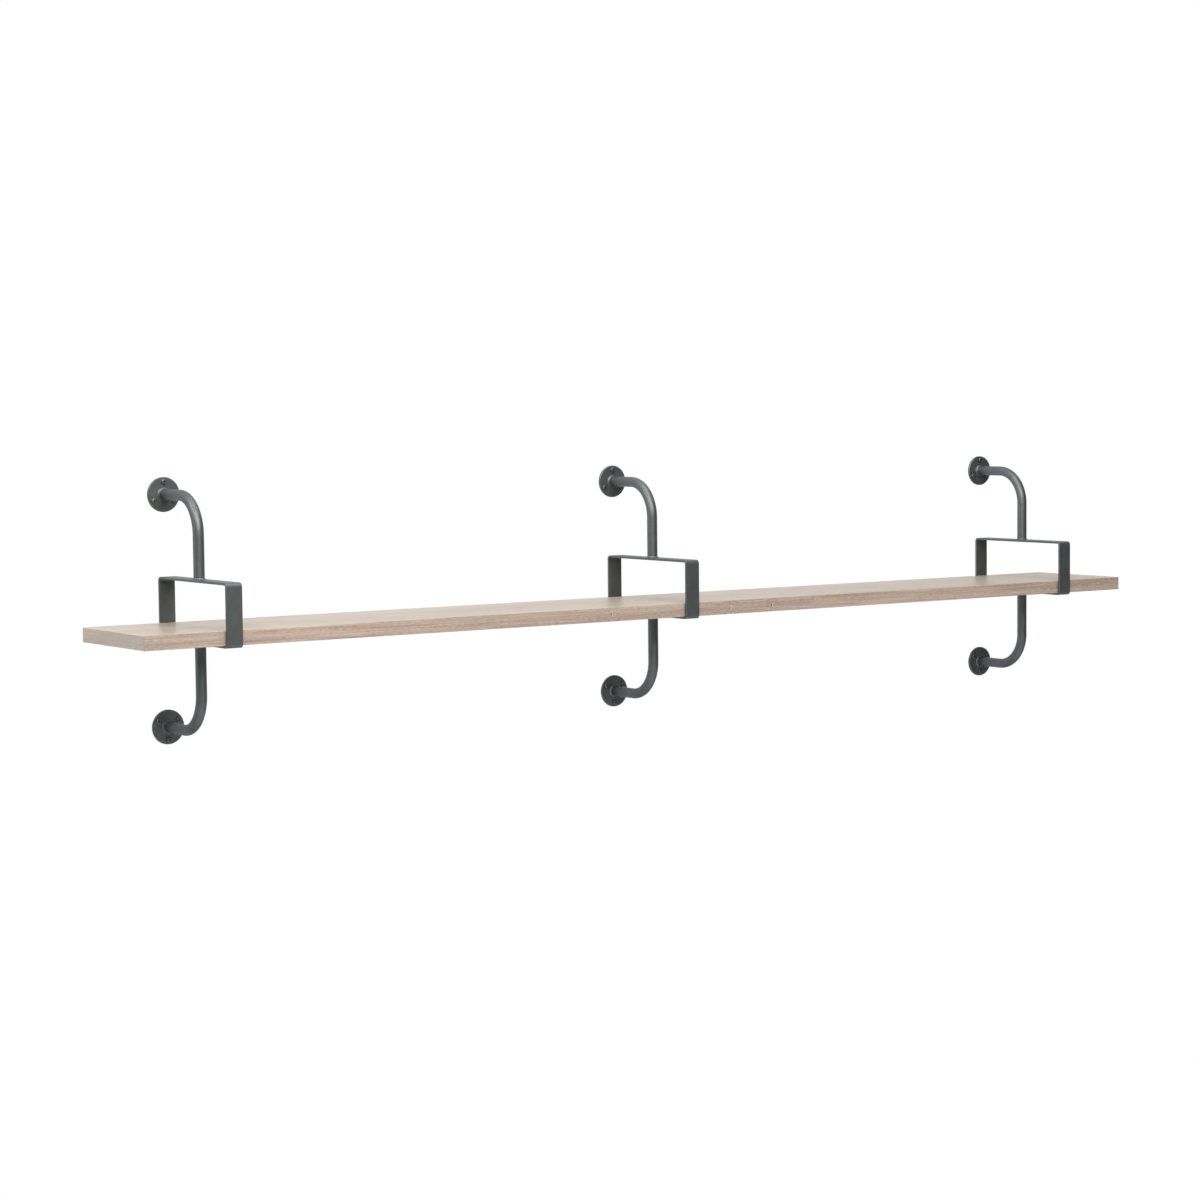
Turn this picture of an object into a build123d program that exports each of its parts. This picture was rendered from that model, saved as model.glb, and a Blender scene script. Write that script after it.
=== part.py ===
from build123d import *
import os

# Wall shelf: a veneered board carried in three welded steel brackets.
# Millimetres. X runs along the board, the wall is the plane Y = 0 and the front faces -Y, Z is up.
# The origin is the centre of the middle bracket's upper flange, on the wall.

# Board
board_length = 2200
board_thickness = 25
face_veneer = 1
edge_band = 2
arris_radius = 0.8

# Brackets
end_overhang = 160
wall_gap = 5
bar_width = 30
bar_thickness = 4
bar_edge_chamfer = 0.5
loop_depth = 250
loop_inner_height = 100
loop_bend_radius = 3
bend_clearance = 0.5

# Bent tube arms and their welds
tube_diameter = 19
tube_wall = 2
arm_bend_radius = 65
upper_rise = 140
lower_rise = 152
weld_leg = 3

# Wall flanges
flange_diameter = 60
flange_thickness = 4
flange_edge_chamfer = 1
screw_circle = 44
screws_per_flange = 3

# Pan-head wood screws
screw_diameter = 5
screw_length = 40
screw_tip = 7
screw_neck_diameter = 3.7
screw_hole_clearance = 0.5
head_diameter = 9.6
head_height = 3.2
head_rim = 1.6
head_slope = 1.4

# Derived places
tube_radius = tube_diameter / 2
bracket_pitch = board_length / 2 - end_overhang
arm_reach = wall_gap + loop_depth / 2
loop_height = loop_inner_height + 2 * bar_thickness
loop_top = -upper_rise
loop_bottom = loop_top - loop_height
loop_middle = (loop_top + loop_bottom) / 2
lower_flange_height = loop_bottom - lower_rise
board_edge_gap = loop_bend_radius + bend_clearance
board_depth = loop_depth - 2 * (bar_thickness + board_edge_gap)
board_middle = loop_bottom + bar_thickness + board_thickness / 2
screw_neck_length = flange_thickness
core_thickness = board_thickness - 2 * face_veneer
panel_length = board_length - 2 * edge_band
panel_depth = board_depth - 2 * edge_band

os.makedirs("parts", exist_ok=True)


def save(part, name):
    part.label = name
    export_step(part, f"parts/{name}.step")


def layer(thickness, height):
    """Flat sheet of the panel between the edge bands, centred at a height."""
    with BuildPart() as sheet:
        with Locations((0, -arm_reach, height)):
            Box(panel_length, panel_depth, thickness)
    return sheet.part


def long_band(side):
    """Band over a long edge of the panel, running the full length; side is -1 in front, 1 at the back."""
    with BuildPart() as band:
        with Locations((0, -arm_reach + side * (board_depth - edge_band) / 2, board_middle)):
            Box(board_length, edge_band, board_thickness)
        outer_face = band.faces().sort_by(Axis.Y)[0 if side < 0 else -1]
        fillet(outer_face.edges(), arris_radius)
    return band.part


def end_band(side):
    """Band over an end of the panel, between the two long bands; side is -1 at the left, 1 at the right."""
    with BuildPart() as band:
        with Locations((side * (board_length - edge_band) / 2, -arm_reach, board_middle)):
            Box(edge_band, panel_depth, board_thickness)
        outer_face = band.faces().sort_by(Axis.X)[0 if side < 0 else -1]
        fillet(outer_face.edges().filter_by(Axis.Y), arris_radius)
    return band.part


def shelf_loop(x):
    """Flat bar bent into a closed rectangle round the board, with its rolled edges eased."""
    side_plane = Plane.YZ.offset(x - bar_width / 2)
    with BuildPart() as loop:
        with BuildSketch(side_plane):
            with Locations((-arm_reach, loop_middle)):
                RectangleRounded(loop_depth, loop_height, loop_bend_radius + bar_thickness)
                RectangleRounded(
                    loop_depth - 2 * bar_thickness, loop_inner_height, loop_bend_radius, mode=Mode.SUBTRACT
                )
        extrude(amount=bar_width)
        side_faces = loop.faces().filter_by(Axis.X)
        chamfer(side_faces.edges(), bar_edge_chamfer)
    return loop.part


def bent_arm(x, flange_height, bar_height):
    """Round tube that leaves the wall flange square, bends through a right angle and meets the loop's bar."""
    with BuildPart() as arm:
        with BuildLine(Plane.YZ.offset(x)) as centre_line:
            FilletPolyline(
                (-flange_thickness, flange_height),
                (-arm_reach, flange_height),
                (-arm_reach, bar_height),
                radius=arm_bend_radius,
            )
        with BuildSketch(Plane(origin=centre_line.line @ 0, z_dir=centre_line.line % 0)):
            Circle(tube_radius)
            Circle(tube_radius - tube_wall, mode=Mode.SUBTRACT)
        sweep()
    return arm.part


def fillet_weld(seat):
    """Fillet weld with equal legs round the foot of a tube that stands on the seat plane."""
    section = Plane(origin=seat.origin, x_dir=seat.x_dir, z_dir=-seat.y_dir)
    with BuildPart() as weld:
        with BuildSketch(section):
            with BuildLine():
                Polyline((tube_radius, weld_leg), (tube_radius, 0), (tube_radius + weld_leg, 0), close=True)
            make_face()
        revolve(axis=Axis(seat.origin, seat.z_dir))
    return weld.part


def wall_flange(wall, first_hole):
    """Round plate against the wall, with its screw holes on a circle and its front edge eased."""
    with BuildPart() as flange:
        with BuildSketch(wall):
            Circle(flange_diameter / 2)
            with PolarLocations(screw_circle / 2, screws_per_flange, start_angle=first_hole):
                Circle((screw_diameter + screw_hole_clearance) / 2, mode=Mode.SUBTRACT)
        extrude(amount=flange_thickness)
        front_face = flange.faces().sort_by(Axis.Y)[0]
        chamfer(front_face.outer_wire().edges(), flange_edge_chamfer)
    return flange.part


def pan_head_screw():
    """One screw on its seat at Z = 0: sloped head above, plain neck and pointed shank below."""
    with BuildPart() as screw:
        with BuildSketch(Plane.XZ):
            with BuildLine():
                Polyline(
                    (0, head_height),
                    (0, -screw_length),
                    (screw_diameter / 2, screw_tip - screw_length),
                    (screw_diameter / 2, -screw_neck_length),
                    (screw_neck_diameter / 2, -screw_neck_length),
                    (screw_neck_diameter / 2, 0),
                    (head_diameter / 2, 0),
                    (head_diameter / 2, head_rim),
                    (head_diameter / 2 - head_slope, head_height),
                    close=True,
                )
            make_face()
        revolve(axis=Axis.Z)
    return screw.part


def screw_set(flange_front, first_screw):
    """The screws of one flange, their heads on its front face."""
    screw = pan_head_screw()
    with BuildPart(flange_front) as screws:
        with PolarLocations(screw_circle / 2, screws_per_flange, start_angle=first_screw):
            add(screw)
    return screws.part


save(layer(core_thickness, board_middle), "board_core")
save(layer(face_veneer, board_middle + (core_thickness + face_veneer) / 2), "top_veneer")
save(layer(face_veneer, board_middle - (core_thickness + face_veneer) / 2), "bottom_veneer")
save(long_band(-1), "front_edge_band")
save(long_band(1), "back_edge_band")
save(end_band(-1), "left_end_band")
save(end_band(1), "right_end_band")

for bracket, x in (("left", -bracket_pitch), ("middle", 0), ("right", bracket_pitch)):
    save(shelf_loop(x), f"{bracket}_shelf_loop")
    # The lower arm is turned over: its flange's single screw is at the bottom instead of the top.
    for level, up, flange_height, bar_height in (
        ("upper", 1, 0, loop_top),
        ("lower", -1, lower_flange_height, loop_bottom),
    ):
        wall = Plane(origin=(x, 0, flange_height), x_dir=(1, 0, 0), z_dir=(0, -1, 0))
        flange_front = wall.offset(flange_thickness)
        bar_face = Plane(origin=(x, -arm_reach, bar_height), x_dir=(1, 0, 0), z_dir=(0, 0, up))
        single_screw = 90 * up
        save(bent_arm(x, flange_height, bar_height), f"{bracket}_{level}_arm")
        save(wall_flange(wall, single_screw), f"{bracket}_{level}_flange")
        save(fillet_weld(flange_front), f"{bracket}_{level}_flange_weld")
        save(fillet_weld(bar_face), f"{bracket}_{level}_loop_weld")
        save(screw_set(flange_front, single_screw), f"{bracket}_{level}_screws")
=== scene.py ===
# %% [markdown]
# # A wall shelf in three welded brackets
# The object is a long veneered board that lies in three closed loops of flat bar. Each loop hangs between
# two bent tubes, and each tube ends in a round wall flange with three screws. The solids already have these
# forms, so this lesson dresses them: veneer, powder coat, rippled welds and real screws. Light and camera
# come last.

# %% Load the frame
import bpy
import bmesh
from math import cos, pi, radians, sin, tau
from mathutils import Matrix, Vector


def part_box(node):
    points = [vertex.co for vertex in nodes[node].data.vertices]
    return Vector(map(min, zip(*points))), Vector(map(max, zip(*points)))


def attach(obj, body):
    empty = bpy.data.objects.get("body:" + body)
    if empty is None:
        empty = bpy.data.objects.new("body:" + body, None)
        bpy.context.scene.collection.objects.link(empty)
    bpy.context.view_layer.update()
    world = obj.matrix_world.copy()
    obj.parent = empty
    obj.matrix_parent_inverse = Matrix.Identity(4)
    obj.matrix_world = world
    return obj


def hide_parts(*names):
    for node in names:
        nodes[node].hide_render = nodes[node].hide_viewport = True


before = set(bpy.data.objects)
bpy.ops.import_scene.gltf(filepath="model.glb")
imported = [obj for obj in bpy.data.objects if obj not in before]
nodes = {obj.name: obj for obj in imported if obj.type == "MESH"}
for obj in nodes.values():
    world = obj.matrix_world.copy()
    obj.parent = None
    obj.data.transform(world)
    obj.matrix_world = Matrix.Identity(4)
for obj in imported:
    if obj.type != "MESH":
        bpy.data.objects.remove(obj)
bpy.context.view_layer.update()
scene = bpy.context.scene
MM = 0.001

# %% [markdown]
# ## Tools
# Colours are written as sRGB hex codes, as a paint chart gives them, and turned into linear light once, here.
# Materials are small node trees, so one function adds a node, sets it and wires its inputs. Another makes an
# object from a bmesh, gives it its material and its body, and hides the solid that it stands for.

# %% Tools


def colour(hex_code):
    channels = [int(hex_code[i:i + 2], 16) / 255 for i in (1, 3, 5)]
    linear = [c / 12.92 if c <= 0.04045 else ((c + 0.055) / 1.055) ** 2.4 for c in channels]
    return (*linear, 1.0)


def feed(made, inputs):
    """Sets a node's inputs. A socket is wired to the input, and of a node the first output in use."""
    for key, value in inputs.items():
        if isinstance(value, bpy.types.Node):
            value = next(output for output in value.outputs if output.enabled)
        if isinstance(value, bpy.types.NodeSocket):
            made.id_data.links.new(value, made.inputs[key])
        else:
            made.inputs[key].default_value = value


def node(tree, kind, inputs=None, **settings):
    made = tree.nodes.new("ShaderNode" + kind)
    for name, value in settings.items():
        setattr(made, name, value)
    feed(made, inputs or {})
    return made


def new_material(name):
    made = bpy.data.materials.new(name)
    made.use_nodes = True
    return made, made.node_tree, made.node_tree.nodes["Principled BSDF"]


def paint(node_name, material):
    mesh = nodes[node_name].data
    mesh.materials.clear()
    mesh.materials.append(material)


def dress(builder, name, material, stands_for, body):
    mesh = bpy.data.meshes.new(name)
    builder.to_mesh(mesh)
    builder.free()
    mesh.shade_smooth()
    mesh.materials.append(material)
    made = bpy.data.objects.new(name, mesh)
    scene.collection.objects.link(made)
    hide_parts(stands_for)
    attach(made, body)
    return made


print("mid grey #808080 is", round(colour("#808080")[0], 3), "in linear light")

# %% [markdown]
# ## Veneer under satin lacquer
# The board is faced with sliced oak, about a millimetre thick, sanded and lacquered. A leaf sliced from a log
# cuts the growth rings at a low angle, so they show as long nested arches. Inside them run fine lines, short
# flecks and pores, all along the grain. A picture of wood would repeat and stretch, so the log itself is
# described here: rings round an axis that is tipped a little to the board, and noise that is stretched along
# the grain.

# %% Grain


def grain(tree, place, axis, length, width, detail):
    """Noise stretched along one axis. Length and width are the size of its streaks in mm."""
    scale = [1 / width] * 3
    scale["XYZ".index(axis)] = 1 / length
    stretched = node(tree, "VectorMath", {0: place, 1: scale}, operation="MULTIPLY")
    return node(tree, "TexNoise", {"Vector": stretched, "Scale": 1.0, "Detail": detail})


RING_SPACING, RING_WAVE, HEART_DEPTH, LOG_TILT = 6.5, 46.0, 24.0, 1.6


def growth_rings(tree, place, heart):
    """Saw-tooth rings round the log's axis, which lies along X and passes through heart, its (y, z) in mm."""
    tipped = node(tree, "Mapping", {"Vector": place, "Location": (0, -heart[0], -heart[1]),
                                    "Rotation": (0, radians(LOG_TILT), 0)})
    across = node(tree, "VectorMath", {0: tipped, 1: (0, 1, 1)}, operation="MULTIPLY")
    radius = node(tree, "VectorMath", {0: across}, operation="LENGTH")
    sway = grain(tree, place, "X", 380, 70, 2)
    wavy = node(tree, "Math", {0: sway, 1: RING_WAVE, 2: radius}, operation="MULTIPLY_ADD")
    turns = node(tree, "Math", {0: wavy, 1: RING_SPACING}, operation="DIVIDE")
    return node(tree, "Math", {0: turns}, operation="FRACT")


print("growth rings every", RING_SPACING, "mm")

# %% [markdown]
# The front edge has a few small knots. Each is a pale curved scar with a dark pin beside it, and the grain
# parts to flow round it. They are masks drawn from the distance to the knot, so they stay sharp at any size.

# %% Knots
KNOT_TALL, KNOT_WIDE = 7.0, 1.5
PIN_PLACE, PIN_RIM, PIN_HEART = -2.2, 2.6, 1.0
GRAIN_REACH, GRAIN_SWELL = 24.0, 0.65


def knot_marks(tree, place, shift, knots):
    """Masks of the scars and pins, and the push that parts the grain. A knot is its x, z and lean, in mm."""
    scars, pins, swell = 0.0, 0.0, 0.0
    for x, z, lean in knots:
        local = node(tree, "VectorMath", {0: place, 1: (x + shift[0], 0, z + shift[2])}, operation="SUBTRACT")
        along, _, up = node(tree, "SeparateXYZ", {0: local}).outputs
        squared = node(tree, "Math", {0: up, 1: up}, operation="MULTIPLY")
        curved = node(tree, "Math", {0: squared, 1: lean / KNOT_TALL, 2: along}, operation="MULTIPLY_ADD")
        bow = node(tree, "CombineXYZ", {"X": curved, "Z": up})
        oval = node(tree, "VectorMath", {0: bow, 1: (1 / KNOT_WIDE, 0, 1 / KNOT_TALL)}, operation="MULTIPLY")
        away = node(tree, "VectorMath", {0: oval}, operation="LENGTH")
        scar = node(tree, "MapRange", {"Value": away, "From Min": 1.0, "From Max": 0.2})
        beside = node(tree, "VectorMath", {0: bow, 1: (PIN_PLACE, 0, 0)}, operation="DISTANCE")
        pin = node(tree, "MapRange", {"Value": beside, "From Min": PIN_RIM, "From Max": PIN_HEART})
        reach = node(tree, "Math", {0: along}, operation="ABSOLUTE")
        near = node(tree, "MapRange", {"Value": reach, "From Min": GRAIN_REACH, "From Max": 0.0},
                    interpolation_type="SMOOTHSTEP")
        spread = node(tree, "Math", {0: near, 1: up}, operation="MULTIPLY")
        scars = node(tree, "Math", {0: scar, 1: scars}, operation="MAXIMUM")
        pins = node(tree, "Math", {0: pin, 1: pins}, operation="MAXIMUM")
        swell = node(tree, "Math", {0: spread, 1: -GRAIN_SWELL, 2: swell}, operation="MULTIPLY_ADD")
    return scars, pins, swell


print("knots are", 2 * KNOT_TALL, "mm tall")

# %% [markdown]
# Bands, lines, flecks and rings are added up, each with its share, to say how light the wood is at a point.

# %% Tone of the wood
DARKEST, LIGHTEST = 0.37, 0.63


def wood_tone(tree, place, axis, heart):
    """How light the wood is, from 0 to 1, and the fine lines in it. Wood without a heart shows no rings."""
    bands = grain(tree, place, axis, 500, 26, 2)
    lines = grain(tree, place, axis, 120, 1.9, 3)
    flecks = grain(tree, place, axis, 9, 1.3, 3)
    shares = [(bands, 0.20), (lines, 0.40), (flecks, 0.40)]
    if heart:
        rings = growth_rings(tree, place, heart)
        shares = [(bands, 0.26), (lines, 0.26), (flecks, 0.30), (rings, 0.18)]
    total = 0.0
    for pattern, share in shares:
        total = node(tree, "Math", {0: pattern, 1: share, 2: total}, operation="MULTIPLY_ADD")
    return node(tree, "MapRange", {"Value": total, "From Min": DARKEST, "From Max": LIGHTEST}), lines


print("tone is spread from", DARKEST, "to", LIGHTEST)

# %% [markdown]
# The veneer mixes its colour by that tone, and pores and knots are laid over it. The open pores are sunk by
# three hundredths of a millimetre. They are too fine to show in the whole picture and are there for a close
# look. The lacquer is a smoother film over the wood, so it is the shader's coat: at a low angle the top
# mirrors the white room.

# %% Veneer
PORE_DEPTH = 0.03 * MM


def veneer(name, axis, light, dark, shift, heart=None, knots=()):
    """Lacquered oak with its grain along an axis. Shift, in mm, picks another place in the log."""
    made, tree, shader = new_material(name)
    where = node(tree, "TexCoord").outputs["Object"]
    place = node(tree, "Mapping", {"Vector": where, "Location": shift, "Scale": [1 / MM] * 3})
    scars, pins, swell = knot_marks(tree, place, shift, knots)
    push = node(tree, "CombineXYZ", {"Z": swell})
    place = node(tree, "VectorMath", {0: place, 1: push}, operation="ADD")

    tone, lines = wood_tone(tree, place, axis, heart)
    tint = node(tree, "Mix", {"Factor": tone, "A": colour(dark), "B": colour(light)}, data_type="RGBA")

    fine = grain(tree, place, axis, 8, 0.35, 1)
    pores = node(tree, "MapRange", {"Value": fine, "From Min": 0.58, "From Max": 0.70})
    marks = [(pores, 0.30, "#7d6757"), (scars, 0.80, "#e6d9cd"), (pins, 0.85, "#5c4738")]
    for mask, strength, mark in marks:
        amount = node(tree, "Math", {0: mask, 1: strength}, operation="MULTIPLY")
        tint = node(tree, "Mix", {"Factor": amount, "A": tint, "B": colour(mark)}, data_type="RGBA")

    gloss = node(tree, "MapRange", {"Value": lines, "From Min": 0.3, "From Max": 0.7,
                                    "To Min": 0.42, "To Max": 0.58})
    sunk = node(tree, "Math", {0: pores, 1: -1.0}, operation="MULTIPLY")
    height = node(tree, "Math", {0: lines, 1: 0.5, 2: sunk}, operation="MULTIPLY_ADD")
    bump = node(tree, "Bump", {"Height": height, "Strength": 0.35, "Distance": PORE_DEPTH})
    feed(shader, {"Base Color": tint, "Roughness": gloss, "Normal": bump, "IOR": 1.5,
                  "Specular IOR Level": 0.2, "Coat Weight": 0.7, "Coat Roughness": 0.35, "Coat IOR": 1.5})
    return made


print("pores are", round(PORE_DEPTH / MM, 3), "mm deep")

# %% Dress the board
LIGHT_EDGE, DARK_EDGE = "#cab8aa", "#948278"
# The face veneer is painted a little lighter and cooler than the edge bands: painted light standing in for
# the light on the top. The bottom veneer shares it.
LIGHT_FACE_WITH_PAINTED_LIGHT, DARK_FACE_WITH_PAINTED_LIGHT = "#cabcad", "#9c8d7f"
# The end bands are painted lighter than the edge bands: painted light standing in for the light on the left
# end, given to both ends. The left lamp lights that end too.
LIGHT_END_WITH_PAINTED_LIGHT, DARK_END_WITH_PAINTED_LIGHT = "#ddd0c4", "#bbafa4"
face_low, face_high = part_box("top_veneer")
heart = ((face_low.y + face_high.y) / 2 / MM, face_high.z / MM - HEART_DEPTH)
edge_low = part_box("front_edge_band")[0].z / MM
front_knots = [(-175, edge_low + 14, 0.9), (93, edge_low + 11, -0.8),
               (192, edge_low + 12, -1.0), (1042, edge_low + 12, 0.8)]
face_oak_painted_lighter = veneer("sliced_oak_veneer_painted_lighter_satin_lacquer", "X", LIGHT_FACE_WITH_PAINTED_LIGHT, DARK_FACE_WITH_PAINTED_LIGHT, (0, 0, 0), heart=heart)
front_oak = veneer("oak_front_band_satin_lacquer", "X", LIGHT_EDGE, DARK_EDGE, (130, 7, 40),
                   knots=front_knots)
back_oak = veneer("oak_back_band_satin_lacquer", "X", LIGHT_EDGE, DARK_EDGE, (710, 90, 15))
end_oak_painted_lighter = veneer("oak_end_band_painted_lighter_satin_lacquer", "Y", LIGHT_END_WITH_PAINTED_LIGHT, DARK_END_WITH_PAINTED_LIGHT, (50, 20, 5))
board_finish = {"top_veneer": face_oak_painted_lighter, "bottom_veneer": face_oak_painted_lighter, "front_edge_band": front_oak,
                "back_edge_band": back_oak, "left_end_band": end_oak_painted_lighter, "right_end_band": end_oak_painted_lighter}
for node_name, material in board_finish.items():
    paint(node_name, material)
print("veneer on", len(board_finish), "solids,", len(front_knots), "knots on the front edge")

# %% [markdown]
# ## Particle board core
# The core is hidden on all sides by veneer and bands. It still gets its own material, pressed wood chips a
# few millimetres long, so that the model is right if someone cuts it open.

# %% Particle board
CHIP_SIZE = 4 * MM
core_board, tree, shader = new_material("particle_board_pressed_chips")
where = node(tree, "TexCoord").outputs["Object"]
chips = node(tree, "TexVoronoi", {"Vector": where, "Scale": 1 / CHIP_SIZE})
chip_tone = node(tree, "SeparateColor", {"Color": chips.outputs["Color"]})
tint = node(tree, "Mix", {"Factor": chip_tone, "A": colour("#b9966a"), "B": colour("#d2b78c")},
            data_type="RGBA")
bump = node(tree, "Bump", {"Height": chip_tone, "Distance": 0.2 * MM})
feed(shader, {"Base Color": tint, "Normal": bump, "Roughness": 0.9})
paint("board_core", core_board)
print("core:", core_board.name)

# %% [markdown]
# ## Metallic powder coat
# The brackets are welded first and coated whole, so loop, tubes, welds and flanges share one anthracite
# skin. The powder holds fine metal flakes: they give the round tubes a soft bright streak and leave the
# rest dark, which a plain dark paint can't do. The film melts into an orange peel about half a millimetre
# across, and its tone varies a little with its thickness. Noise at these sizes drives colour, gloss and
# bump.

# %% Metallic powder coat
PEEL_SIZE, PEEL_DEPTH, CLOUD_SIZE = 0.6 * MM, 0.02 * MM, 22 * MM
powder_coat, tree, shader = new_material("anthracite_metallic_powder_coat")
where = node(tree, "TexCoord").outputs["Object"]
peel = node(tree, "TexNoise", {"Vector": where, "Scale": 1 / PEEL_SIZE, "Detail": 2.0, "Roughness": 0.55})
cloud = node(tree, "TexNoise", {"Vector": where, "Scale": 1 / CLOUD_SIZE, "Detail": 3.0, "Roughness": 0.6})
thickness = node(tree, "Math", {0: cloud, 1: 0.3}, operation="MULTIPLY")
mottle = node(tree, "Math", {0: peel, 1: 0.7, 2: thickness}, operation="MULTIPLY_ADD")
tone = node(tree, "MapRange", {"Value": mottle, "From Min": 0.3, "From Max": 0.7})
tint = node(tree, "Mix", {"Factor": tone, "A": colour("#5f6566"), "B": colour("#767c7d")}, data_type="RGBA")
gloss = node(tree, "MapRange", {"Value": peel, "From Min": 0.3, "From Max": 0.7,
                                "To Min": 0.45, "To Max": 0.55})
bump = node(tree, "Bump", {"Height": peel, "Strength": 0.4, "Distance": PEEL_DEPTH})
feed(shader, {"Base Color": tint, "Roughness": gloss, "Normal": bump, "Metallic": 0.9})
coated = [name for name in nodes if name.endswith(("_loop", "_arm", "_flange"))]
for name in coated:
    paint(name, powder_coat)
print("powder coat on", len(coated), "solids")

# %% [markdown]
# ## Weld beads
# Each tube foot is closed by a fillet weld. A bead is laid in small overlapping puddles, so it has ripples
# about a millimetre and a half apart that still show under the coat. The bead is a ring swept from a hollow
# section, and both legs of the section swell and shrink from puddle to puddle.

# %% One weld bead
TUBE_RADIUS, WELD_LEG, RIPPLE = 9.5 * MM, 3 * MM, 1.5 * MM
# Shares of the leg: what is always there, what a puddle adds, a slow wander, and how far the face is hollow.
LEAST_LEG, PUDDLE_SWELL, WANDER, HOLLOW = 0.89, 0.09, 0.02, 0.13
STEPS_PER_RIPPLE, STEPS_ACROSS = 6, 8


def weld_bead(seat, up):
    """Rippled ring on the seat point. Up is the unit direction of the tube."""
    builder = bmesh.new()
    ripples = round(tau * (TUBE_RADIUS + WELD_LEG / 2) / RIPPLE)
    around = ripples * STEPS_PER_RIPPLE
    turn = up.to_track_quat("Z", "Y").to_matrix()
    rings = []
    for i in range(around):
        angle = tau * i / around
        puddle = abs(sin(angle * ripples / 2 + 0.35 * sin(angle * 3)))
        leg = WELD_LEG * (LEAST_LEG + PUDDLE_SWELL * puddle + WANDER * sin(angle * 5))
        section = [(TUBE_RADIUS, 0)]
        for j in range(STEPS_ACROSS + 1):
            share = j / STEPS_ACROSS
            hollow = HOLLOW * leg * sin(pi * share)
            out, high = leg * (1 - share) - hollow, leg * share - hollow
            section.append((TUBE_RADIUS + max(out, 0), max(high, 0)))
        ring = [Vector((radius * cos(angle), radius * sin(angle), height)) for radius, height in section]
        rings.append([builder.verts.new(seat + turn @ point) for point in ring])
    for here, there in zip(rings, rings[1:] + rings[:1]):
        for j in range(len(here)):
            k = (j + 1) % len(here)
            builder.faces.new((here[j], there[j], there[k], here[k]))
    bmesh.ops.recalc_face_normals(builder, faces=builder.faces)
    return builder


print("weld ripples:", RIPPLE / MM, "mm apart")

# %% Lay the welds
welds = [name for name in nodes if name.endswith("_weld")]
for name in welds:
    low, high = (Vector(corner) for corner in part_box(name))
    middle = (low + high) / 2
    if name.endswith("flange_weld"):
        seat, up = Vector((middle.x, high.y, middle.z)), Vector((0, -1, 0))
    elif "_upper_" in name:
        seat, up = Vector((middle.x, middle.y, low.z)), Vector((0, 0, 1))
    else:
        seat, up = Vector((middle.x, middle.y, high.z)), Vector((0, 0, -1))
    dress(weld_bead(seat, up), name + "_bead", powder_coat, name, "brackets")
print("weld beads:", len(welds))

# %% [markdown]
# ## Screws
# Dark zinc-plated wood screws with pan heads. A head is upset from wire and its cross recess is punched, so
# the recess has four tapered wings. The thread is rolled: a thin helical fin on a slimmer core that starts
# behind the plain neck and closes at the point. Head and core are turned profiles, the recess is cut from the
# head with a boolean, and the fin is a four-sided section swept along a helix. Screws are plated in a
# tumbling drum, which leaves the zinc cloudy: its tone and gloss vary over a few millimetres.

# %% Screw material
GRIME_SIZE = 2.4 * MM
zinc, tree, shader = new_material("dark_zinc_plated_steel_tumbled")
where = node(tree, "TexCoord").outputs["Object"]
grime = node(tree, "TexNoise", {"Vector": where, "Scale": 1 / GRIME_SIZE, "Detail": 3.0})
tint = node(tree, "Mix", {"Factor": grime, "A": colour("#626463"), "B": colour("#838481")}, data_type="RGBA")
gloss = node(tree, "MapRange", {"Value": grime, "To Min": 0.36, "To Max": 0.54})
feed(shader, {"Base Color": tint, "Roughness": gloss, "Metallic": 1.0})
print("screw finish:", zinc.name)

# %% Turning a profile
HEAD_STEPS, SHANK_STEPS = 48, 24


def lathe(builder, profile, segments):
    """Turns a profile of (radius, height) points that starts and ends on the axis."""
    start = builder.verts.new((0, 0, profile[0][1]))
    end = builder.verts.new((0, 0, profile[-1][1]))
    angles = [tau * i / segments for i in range(segments)]
    rows = [[builder.verts.new((r * cos(a), r * sin(a), h)) for a in angles] for r, h in profile[1:-1]]
    for i in range(segments):
        k = (i + 1) % segments
        builder.faces.new((start, rows[0][i], rows[0][k]))
        builder.faces.new((end, rows[-1][k], rows[-1][i]))
        for a, b in zip(rows, rows[1:]):
            builder.faces.new((a[i], b[i], b[k], a[k]))


def finished_mesh(builder, name):
    bmesh.ops.recalc_face_normals(builder, faces=builder.faces)
    mesh = bpy.data.meshes.new(name)
    builder.to_mesh(mesh)
    builder.free()
    return mesh


print("heads are turned in", HEAD_STEPS, "steps and shanks in", SHANK_STEPS)

# %% Screw head
HEAD_RADIUS, HEAD_HEIGHT, HEAD_RIM = 4.8 * MM, 3.2 * MM, 1.6 * MM
RECESS_DEPTH = 2.1 * MM
# Half length and half width of a wing of the punch, above the head and at its tip.
WING_TOP, WING_TIP = (2.6 * MM, 0.55 * MM), (1.0 * MM, 0.4 * MM)


def cross_punch():
    """Two crossed wedges that narrow downwards."""
    builder = bmesh.new()
    levels = [(HEAD_HEIGHT + 1 * MM, *WING_TOP), (HEAD_HEIGHT - RECESS_DEPTH, *WING_TIP)]
    sides = [(-1, -1), (1, -1), (1, 1), (-1, 1)]
    faces = [(0, 1, 2, 3), (7, 6, 5, 4), (0, 4, 5, 1), (1, 5, 6, 2), (2, 6, 7, 3), (3, 7, 4, 0)]
    for quarter in (0, pi / 2):
        turn = Matrix.Rotation(quarter, 3, "Z")
        corners = [Vector((s * long, t * wide, height)) for height, long, wide in levels for s, t in sides]
        verts = [builder.verts.new(turn @ corner) for corner in corners]
        for face in faces:
            builder.faces.new([verts[k] for k in face])
    return finished_mesh(builder, "cross_punch")


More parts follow.
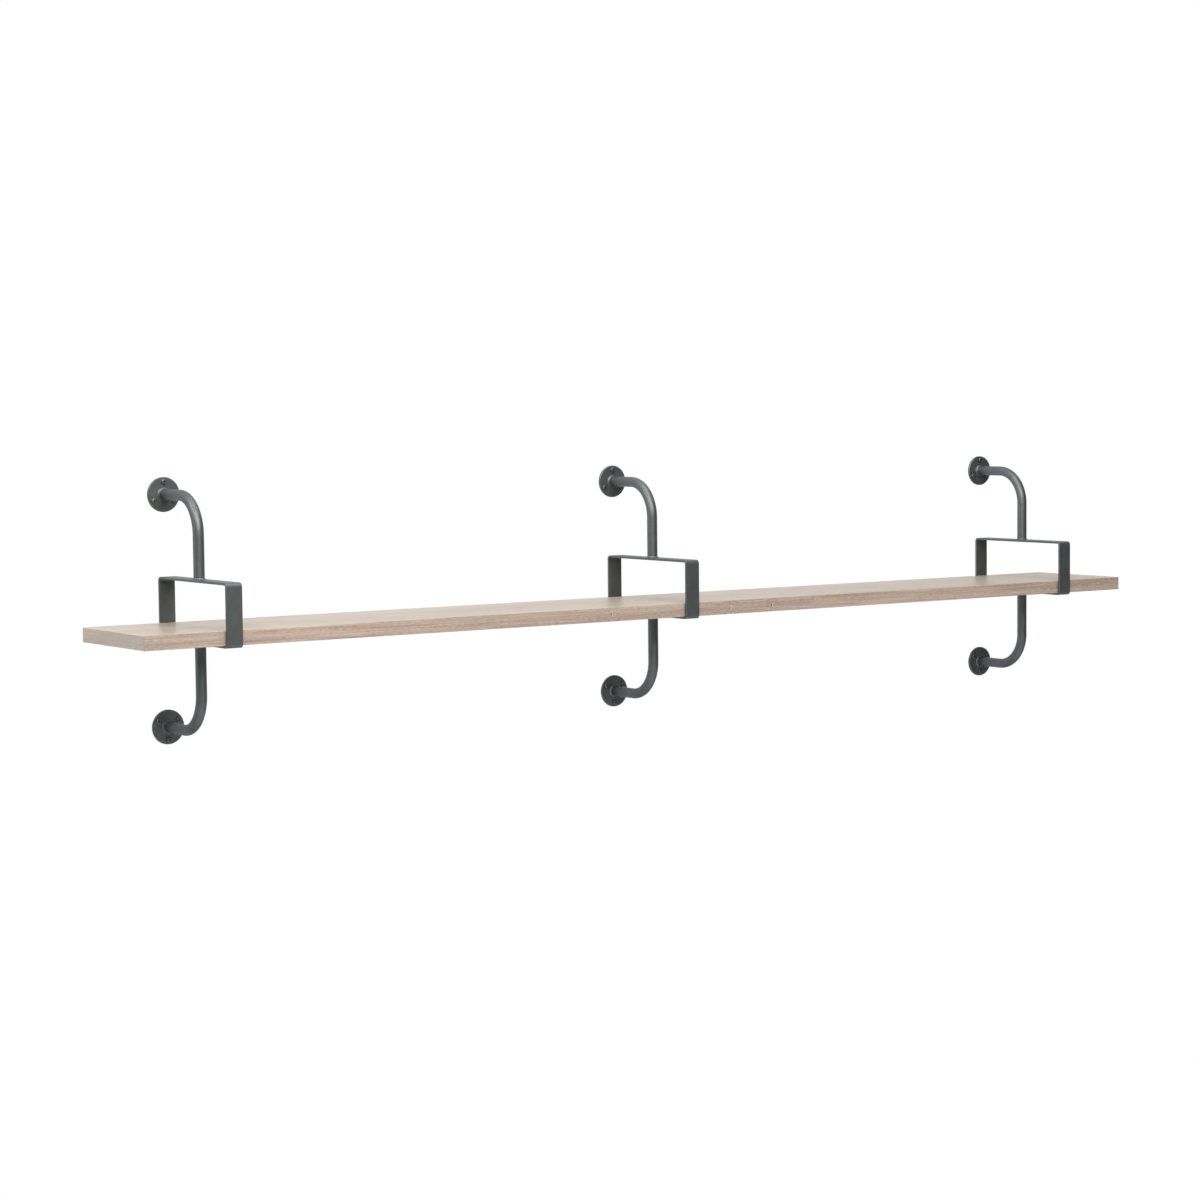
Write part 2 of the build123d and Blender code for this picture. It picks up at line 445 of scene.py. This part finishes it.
def screw_head():
    """Domed head with its recess, its seat at height 0."""
    builder = bmesh.new()
    dome = HEAD_HEIGHT - HEAD_RIM
    arc = [radians(degrees) for degrees in range(0, 91, 10)]
    rounded = [(HEAD_RADIUS - dome + dome * cos(a), HEAD_RIM + dome * sin(a)) for a in arc]
    seat = [(0, 0), (HEAD_RADIUS - 0.2 * MM, 0), (HEAD_RADIUS, 0.2 * MM)]
    lathe(builder, [*seat, *rounded, (0, HEAD_HEIGHT)], HEAD_STEPS)
    blank = bpy.data.objects.new("head_blank", finished_mesh(builder, "head_blank"))
    punch = bpy.data.objects.new("cross_punch", cross_punch())
    for made in (blank, punch):
        scene.collection.objects.link(made)
    cut = blank.modifiers.new("recess", "BOOLEAN")
    cut.object = punch
    cut.operation = "DIFFERENCE"
    cut.use_self = True
    shaped = bpy.data.meshes.new_from_object(blank.evaluated_get(bpy.context.evaluated_depsgraph_get()))
    for scrap in (blank, punch):
        bpy.data.objects.remove(scrap)
    return shaped


print("screw heads:", 2 * HEAD_RADIUS / MM, "mm across")

# %% Screw shank
NECK_RADIUS, NECK_LENGTH = 1.85 * MM, 4 * MM
CREST_RADIUS, CORE_RADIUS, THREAD_PITCH = 2.5 * MM, 1.65 * MM, 2.2 * MM
SHANK_LENGTH, TIP = 40 * MM, 7 * MM
THREAD_START, THREAD_END = NECK_LENGTH + 1 * MM, SHANK_LENGTH - 1.5 * MM
FIN_FOOT, FIN_CREST = 0.5 * MM, 0.08 * MM
STEPS_PER_TURN = 20


def add_thread(builder):
    """Fin round the shank, closed at both ends, with its root sunk in the core."""
    steps = round((THREAD_END - THREAD_START) / THREAD_PITCH * STEPS_PER_TURN)
    sections = []
    for i in range(steps + 1):
        depth = THREAD_START + (THREAD_END - THREAD_START) * i / steps
        angle = tau * depth / THREAD_PITCH
        taper = min(1, (SHANK_LENGTH - depth) / TIP)
        root = CORE_RADIUS * taper * 0.9
        crest = root + (CREST_RADIUS * min(1, taper * 1.25) - root) * min(1, i / STEPS_PER_TURN)
        outline = [(root, -FIN_FOOT), (crest, -FIN_CREST), (crest, FIN_CREST), (root, FIN_FOOT)]
        sections.append([builder.verts.new((r * cos(angle), r * sin(angle), h - depth)) for r, h in outline])
    for here, there in zip(sections, sections[1:]):
        for j in range(4):
            k = (j + 1) % 4
            builder.faces.new((here[j], there[j], there[k], here[k]))
    builder.faces.new(sections[0])
    builder.faces.new(sections[-1])


def whole_screw():
    builder = bmesh.new()
    head = screw_head()
    builder.from_mesh(head)
    bpy.data.meshes.remove(head)
    point = [(0, -SHANK_LENGTH), (CORE_RADIUS / 2, TIP / 2 - SHANK_LENGTH), (CORE_RADIUS, TIP - SHANK_LENGTH)]
    neck = [(NECK_RADIUS, -NECK_LENGTH), (NECK_RADIUS, 0.1 * MM), (0, 0.1 * MM)]
    lathe(builder, [*point, (CORE_RADIUS, -THREAD_START), *neck], SHANK_STEPS)
    add_thread(builder)
    return finished_mesh(builder, "pan_head_screw")


print("screw thread:", THREAD_PITCH / MM, "mm from turn to turn")

# %% Set the screws
CIRCLE_RADIUS = 22 * MM
SCREWS_PER_FLANGE = 3
TURN_APART, SHARP_ANGLE = radians(37), radians(35)
one_screw = whole_screw()
face_front = Matrix.Rotation(pi / 2, 4, "X")
screw_nodes = sorted(name for name in nodes if name.endswith("_screws"))
for number, name in enumerate(screw_nodes):
    low, high = (Vector(corner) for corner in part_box(name.replace("_screws", "_flange")))
    middle = (low + high) / 2
    first = pi / 2 if "_upper_" in name else -pi / 2
    builder = bmesh.new()
    for k in range(SCREWS_PER_FLANGE):
        angle = first + tau * k / SCREWS_PER_FLANGE
        seat = Vector((middle.x + CIRCLE_RADIUS * cos(angle), low.y, middle.z + CIRCLE_RADIUS * sin(angle)))
        driven = Matrix.Rotation(TURN_APART * (SCREWS_PER_FLANGE * number + k), 4, "Z")
        copy = one_screw.copy()
        copy.transform(Matrix.Translation(seat) @ face_front @ driven)
        builder.from_mesh(copy)
        bpy.data.meshes.remove(copy)
    made = dress(builder, name + "_threaded", zinc, name, "brackets")
    made.data.set_sharp_from_angle(angle=SHARP_ANGLE)
bpy.data.meshes.remove(one_screw)
print("screws:", SCREWS_PER_FLANGE * len(screw_nodes))

# %% [markdown]
# ## Floor, wall and room
# The shelf hangs in a white studio. Floor, wall and room are white to the camera by their own colour, so no
# extra light falls on the object. Metal and lacquer mirror that white dimmed: a little at the wall, more
# towards the floor, and most in front of the shelf, where a studio is dark behind its lamps. That keeps the
# steel dark round its bright streaks. The floor is clear from below and the wall from behind, so the shelf
# can be looked at from there too.

# %% Floor
FLOOR_HALF, FLOOR_HEIGHT = 4.0, -1.4
FLOOR_GLOW, FLOOR_MIRROR = 0.7, 0.1
FADE_START, FADE_END = 0.5 * FLOOR_HALF, 0.95 * FLOOR_HALF


def sight(tree, mirror_level):
    """1 for what the camera sees, a set level for what it sees mirrored or through glass, else 0."""
    rays = node(tree, "LightPath").outputs
    mirrored = node(tree, "Math", {0: rays["Is Glossy Ray"], 1: rays["Is Transmission Ray"]},
                    operation="MAXIMUM")
    dimmed = node(tree, "Math", {0: mirrored, 1: mirror_level}, operation="MULTIPLY")
    return node(tree, "Math", {0: rays["Is Camera Ray"], 1: dimmed}, operation="MAXIMUM")


def stage_object(name, mesh, material):
    made = bpy.data.objects.new(name, mesh)
    mesh.materials.append(material)
    scene.collection.objects.link(made)
    return made


paper, tree, shader = new_material("white_studio_paper")
feed(shader, {"Base Color": colour("#e6e6e6"), "Roughness": 0.9})
strength = node(tree, "Math", {0: sight(tree, FLOOR_MIRROR), 1: FLOOR_GLOW}, operation="MULTIPLY")
glow = node(tree, "Emission", {"Color": (1, 1, 1, 1), "Strength": strength})
lit_paper = node(tree, "AddShader", {0: shader, 1: glow})
where = node(tree, "TexCoord").outputs["Object"]
from_middle = node(tree, "VectorMath", {0: where}, operation="LENGTH")
faded = node(tree, "MapRange", {"Value": from_middle, "From Min": FADE_START, "From Max": FADE_END})
below = node(tree, "NewGeometry").outputs["Backfacing"]
clear = node(tree, "Math", {0: faded, 1: below}, operation="MAXIMUM")
sheet = node(tree, "MixShader", {0: clear, 1: lit_paper, 2: node(tree, "BsdfTransparent")})
feed(tree.nodes["Material Output"], {"Surface": sheet})
builder = bmesh.new()
bmesh.ops.create_grid(builder, x_segments=8, y_segments=8, size=FLOOR_HALF)
stage_object("floor", finished_mesh(builder, "floor"), paper).location.z = FLOOR_HEIGHT
print("floor:", -FLOOR_HEIGHT, "m below the upper flanges")

# %% Wall
# A white card where the flanges meet the wall hides the screw shanks from the front, as plaster would. It
# is there only for sight lines from the room: light passes it, and from behind it is clear. Its mirror image
# is painted darker towards the floor, a painted shade like that of a wall lit from above, which the lower
# tubes mirror.
WALL_Y, WALL_HALF, WALL_TOP = 0.5 * MM, 6.0, 3.2
MIRROR_LEVEL, LOW_MIRROR_LEVEL = 0.85, 0.15
SHADE_TOP, SHADE_FOOT = -0.25, -0.9
plaster, tree, shader = new_material("white_wall_card")
height = node(tree, "SeparateXYZ", {0: node(tree, "TexCoord").outputs["Object"]}).outputs["Z"]
# Painted shade: the card's mirrored level falls from SHADE_TOP down to SHADE_FOOT.
painted_shade_level = node(tree, "MapRange", {"Value": height, "From Min": SHADE_FOOT, "From Max": SHADE_TOP,
                                 "To Min": LOW_MIRROR_LEVEL, "To Max": MIRROR_LEVEL})
level = sight(tree, painted_shade_level)
in_sight = node(tree, "Math", {0: level}, operation="CEIL")
behind = node(tree, "NewGeometry").outputs["Backfacing"]
from_room = node(tree, "Math", {0: 1.0, 1: behind}, operation="SUBTRACT")
shown = node(tree, "Math", {0: in_sight, 1: from_room}, operation="MULTIPLY")
white = node(tree, "Emission", {"Color": (1, 1, 1, 1), "Strength": level})
card = node(tree, "MixShader", {0: shown, 1: node(tree, "BsdfTransparent"), 2: white})
feed(tree.nodes["Material Output"], {"Surface": card})
mesh = bpy.data.meshes.new("wall")
lower = [(-WALL_HALF, WALL_Y, FLOOR_HEIGHT), (WALL_HALF, WALL_Y, FLOOR_HEIGHT)]
upper = [(WALL_HALF, WALL_Y, WALL_TOP), (-WALL_HALF, WALL_Y, WALL_TOP)]
mesh.from_pydata(lower + upper, [], [(0, 1, 2, 3)])
stage_object("wall", mesh, plaster)
print("wall card at y =", WALL_Y)

# %% Room
# A sight line has a Y of -1 when it leaves through the front of the room and of 1 when it goes to the wall.
ROOM_LIGHT = 0.18
DARK_UNTIL, LIGHT_FROM = -0.25, 0.05
world = bpy.data.worlds.new("white_studio")
scene.world = world
world.use_nodes = True
tree = world.node_tree
direction = node(tree, "SeparateXYZ", {0: node(tree, "TexCoord").outputs["Generated"]}).outputs["Y"]
wall_side = node(tree, "MapRange", {"Value": direction, "From Min": DARK_UNTIL, "From Max": LIGHT_FROM,
                                    "To Max": MIRROR_LEVEL})
level = node(tree, "MapRange", {"Value": sight(tree, wall_side), "To Min": ROOM_LIGHT, "To Max": 1.0})
feed(tree.nodes["Background"], {"Color": (1, 1, 1, 1), "Strength": level})
print("room light:", ROOM_LIGHT)

# %% [markdown]
# ## Lamps and camera
# A broad softbox stands in front and above and draws the streak on each tube. It is over four metres wide,
# so that its mirror image in the lacquer stays pale instead of turning into a white patch. One high on the
# left lights the end of the board without reaching the camera by way of the tubes, and one under the
# ceiling lights the top.

# %% Lamps


def lamp(name, place, target, size, power, tint):
    data = bpy.data.lights.new(name, "AREA")
    data.shape = "RECTANGLE"
    data.size, data.size_y = size
    data.energy = power
    data.color = colour(tint)[:3]
    made = bpy.data.objects.new(name, data)
    made.location = place
    made.rotation_euler = (Vector(target) - Vector(place)).to_track_quat("-Z", "Y").to_euler()
    scene.collection.objects.link(made)


lamp("front_softbox", place=(-1.7, -3.8, 2.4), target=(-0.2, -0.13, -0.1), size=(4.4, 2.4), power=244,
     tint="#fffaf4")
lamp("left_softbox", place=(-2.6, -0.4, 1.9), target=(-1.0, -0.13, -0.2), size=(0.8, 0.8), power=23,
     tint="#ffffff")
lamp("ceiling_softbox", place=(-0.3, -0.6, 2.6), target=(-0.1, -0.13, -0.2), size=(2.4, 0.8), power=36,
     tint="#ffffff")
print("lamps:", len(bpy.data.lights))

# %% Camera
# The camera's place and lens were worked out from edges measured in the photo, in a 1200 x 1200 frame.
FOCAL_PIXELS, IMAGE_PIXELS = 2824.7, 1200
CAMERA_PLACE = (-3.0974, -4.3928, 0.1466)
TURNED_RIGHT, LOOKS_DOWN, ROLLED = 34.9292, 3.9652, 0.5817
camera_data = bpy.data.cameras.new("photo_camera")
camera_data.sensor_width = 36
camera_data.lens = FOCAL_PIXELS / IMAGE_PIXELS * camera_data.sensor_width
camera = bpy.data.objects.new("photo_camera", camera_data)
heading = Matrix.Rotation(radians(-TURNED_RIGHT), 4, "Z")
pitch = Matrix.Rotation(radians(90 - LOOKS_DOWN), 4, "X")
roll = Matrix.Rotation(radians(-ROLLED), 4, "Z")
camera.matrix_world = Matrix.Translation(CAMERA_PLACE) @ heading @ pitch @ roll
scene.collection.objects.link(camera)
scene.camera = camera
scene.view_settings.view_transform = "Standard"
bpy.context.view_layer.update()
print("camera lens:", round(camera_data.lens, 1), "mm")
